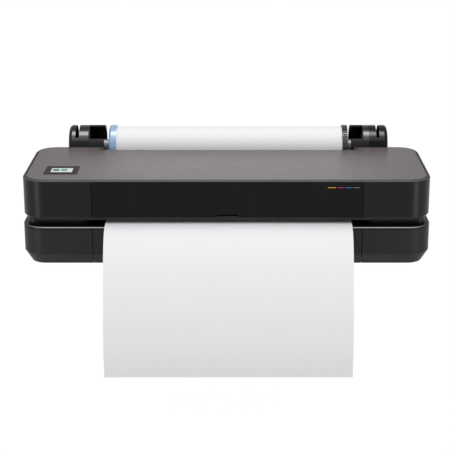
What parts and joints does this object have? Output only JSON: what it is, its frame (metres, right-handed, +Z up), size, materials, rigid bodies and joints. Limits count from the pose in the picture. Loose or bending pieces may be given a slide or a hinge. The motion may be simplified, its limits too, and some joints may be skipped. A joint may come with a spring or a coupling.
{
  "type": "large format plotter",
  "caption": "Desktop-width roll-fed colour plotter with a front door, small touch screen, rear paper roll on two arms and a printed sheet hanging from the front slot.",
  "frame": {"origin": "centre of the four stand-mount holes, on the underside of the base tray", "axes": "+X to the operator's right, front faces -Y, +Z up"},
  "size_m": [1.018, 0.589, 0.5114],
  "materials": {
    "top_plate": "satin",
    "top_rim": "satin",
    "upper_cover": "satin",
    "front_door": "gloss",
    "lip": "satin",
    "screen_bezel": "gloss",
    "touch_screen": "gloss",
    "ink_marks": "satin",
    "lower_cover": "textured",
    "black_plastic": "matte",
    "sheet_steel": "satin",
    "steel": "polished",
    "motor_steel": "satin",
    "rubber": "matte",
    "paper": "matte",
    "core_board": "matte",
    "spindle_grey": "satin",
    "hub_blue": "satin",
    "hub_grey": "satin",
    "arm_dark": "semi-gloss",
    "cradle_black": "satin",
    "encoder_film": "gloss",
    "carriage_plastic": "satin",
    "printhead": "satin",
    "pulley_plastic": "satin",
    "cutter_plastic": "satin",
    "ink_cartridge": "satin",
    "circuit_board": "satin",
    "supply_case": "satin",
    "switch_black": "gloss"
  },
  "bodies": {
    "printer": {"top_plate": "top_plate", "top_rim": "top_rim", "upper_end_cover_left": "upper_cover", "upper_end_cover_right": "upper_cover", "upper_rear_cover": "upper_cover", "upper_bottom_frame": "lip", "door_hinge_pins": "steel", "screen_bezel": "screen_bezel", "touch_screen": "touch_screen", "lower_front_cover": "lower_cover", "lower_end_cover_left": "lower_cover", "lower_end_cover_right": "lower_cover", "lower_rear_cover": "lower_cover", "mid_frame": "black_plastic", "base_tray": "sheet_steel", "feet": "rubber", "roll_arm_left": "arm_dark", "roll_arm_right": "arm_dark", "cradle_left": "cradle_black", "cradle_right": "cradle_black", "paper_sheet": "paper", "rear_guide": "black_plastic", "chassis_plate_left": "sheet_steel", "chassis_plate_right": "sheet_steel", "chassis_beam": "sheet_steel", "carriage_rod": "steel", "encoder_strip": "encoder_film", "drive_belt": "rubber", "motors": "motor_steel", "platen": "black_plastic", "service_station": "carriage_plastic", "pinch_brackets": "black_plastic", "cutter_rail": "sheet_steel", "ink_bay": "black_plastic", "ink_cartridges": "ink_cartridge", "main_board": "circuit_board", "power_supply": "supply_case", "power_inlet": "black_plastic", "data_ports": "steel", "fasteners": "steel"},
    "front_door": {"front_door": "front_door", "ink_marks": "ink_marks"},
    "carriage": {"carriage": "carriage_plastic", "printhead": "printhead"},
    "drive_pulley": {"drive_pulley": "pulley_plastic"},
    "idler_pulley": {"idler_pulley": "pulley_plastic"},
    "cutter": {"cutter": "cutter_plastic"},
    "feed_roller": {"feed_roller": "steel", "feed_gear": "pulley_plastic"},
    "feed_pinion": {"feed_pinion": "steel"},
    "pinch_rollers": {"pinch_rollers": "rubber"},
    "exit_roller": {"exit_roller": "rubber"},
    "roll": {"paper_roll": "paper", "roll_core": "core_board", "spindle": "spindle_grey", "hub_left": "hub_blue", "hub_right": "hub_grey"},
    "roll_pinion": {"roll_pinion": "hub_grey"},
    "power_switch": {"power_switch": "switch_black"},
    "cap_sled": {"cap_sled": "rubber"}
  },
  "joints": [
    {"name": "door_hinge", "type": "hinge", "parent": "printer", "child": "front_door", "pos_m": [0.002, -0.168, 0.2115], "axis": [-1, 0, 0], "range_deg": [0, 88]},
    {"name": "carriage_slide", "type": "slide", "parent": "printer", "child": "carriage", "axis": [1, 0, 0], "range_m": [-0.768, 0]},
    {"name": "drive_pulley_spin", "type": "hinge", "parent": "printer", "child": "drive_pulley", "pos_m": [0.424, 0.02, 0.15], "axis": [0, 1, 0], "continuous": true},
    {"name": "idler_pulley_spin", "type": "hinge", "parent": "printer", "child": "idler_pulley", "pos_m": [-0.424, 0.02, 0.15], "axis": [0, 1, 0], "continuous": true},
    {"name": "cutter_slide", "type": "slide", "parent": "printer", "child": "cutter", "axis": [1, 0, 0], "range_m": [-0.648, 0]},
    {"name": "feed_spin", "type": "hinge", "parent": "printer", "child": "feed_roller", "pos_m": [0, 0.025, 0.0938], "axis": [1, 0, 0], "continuous": true},
    {"name": "feed_pinion_spin", "type": "hinge", "parent": "printer", "child": "feed_pinion", "pos_m": [0, 0.00625, 0.06132], "axis": [1, 0, 0], "continuous": true},
    {"name": "pinch_spin", "type": "hinge", "parent": "printer", "child": "pinch_rollers", "pos_m": [0, 0.025, 0.1132], "axis": [1, 0, 0], "continuous": true},
    {"name": "exit_spin", "type": "hinge", "parent": "printer", "child": "exit_roller", "pos_m": [0, -0.1, 0.1008], "axis": [1, 0, 0], "continuous": true},
    {"name": "roll_spin", "type": "hinge", "parent": "printer", "child": "roll", "pos_m": [0, 0.226, 0.2104], "axis": [1, 0, 0], "continuous": true},
    {"name": "roll_pinion_spin", "type": "hinge", "parent": "printer", "child": "roll_pinion", "pos_m": [0, 0.1796, 0.164], "axis": [1, 0, 0], "continuous": true},
    {"name": "power_rocker", "type": "hinge", "parent": "printer", "child": "power_switch", "pos_m": [-0.242, 0.167, 0.053], "axis": [1, 0, 0], "range_deg": [-14, 0]},
    {"name": "cap_lift", "type": "slide", "parent": "printer", "child": "cap_sled", "axis": [0, 0, -1], "range_m": [0, 0.004], "stiffness_N_per_m": 300, "springref_m": -0.005}
  ],
  "couplings": [
    {"joint": "drive_pulley_spin", "follows": "carriage_slide", "rad_per_m": -98.039},
    {"joint": "idler_pulley_spin", "follows": "carriage_slide", "rad_per_m": -98.039},
    {"joint": "feed_pinion_spin", "follows": "feed_spin", "ratio": -4},
    {"joint": "pinch_spin", "follows": "feed_spin", "ratio": -2},
    {"joint": "exit_spin", "follows": "feed_spin", "ratio": 2.4},
    {"joint": "roll_pinion_spin", "follows": "roll_spin", "ratio": -4}
  ]
}
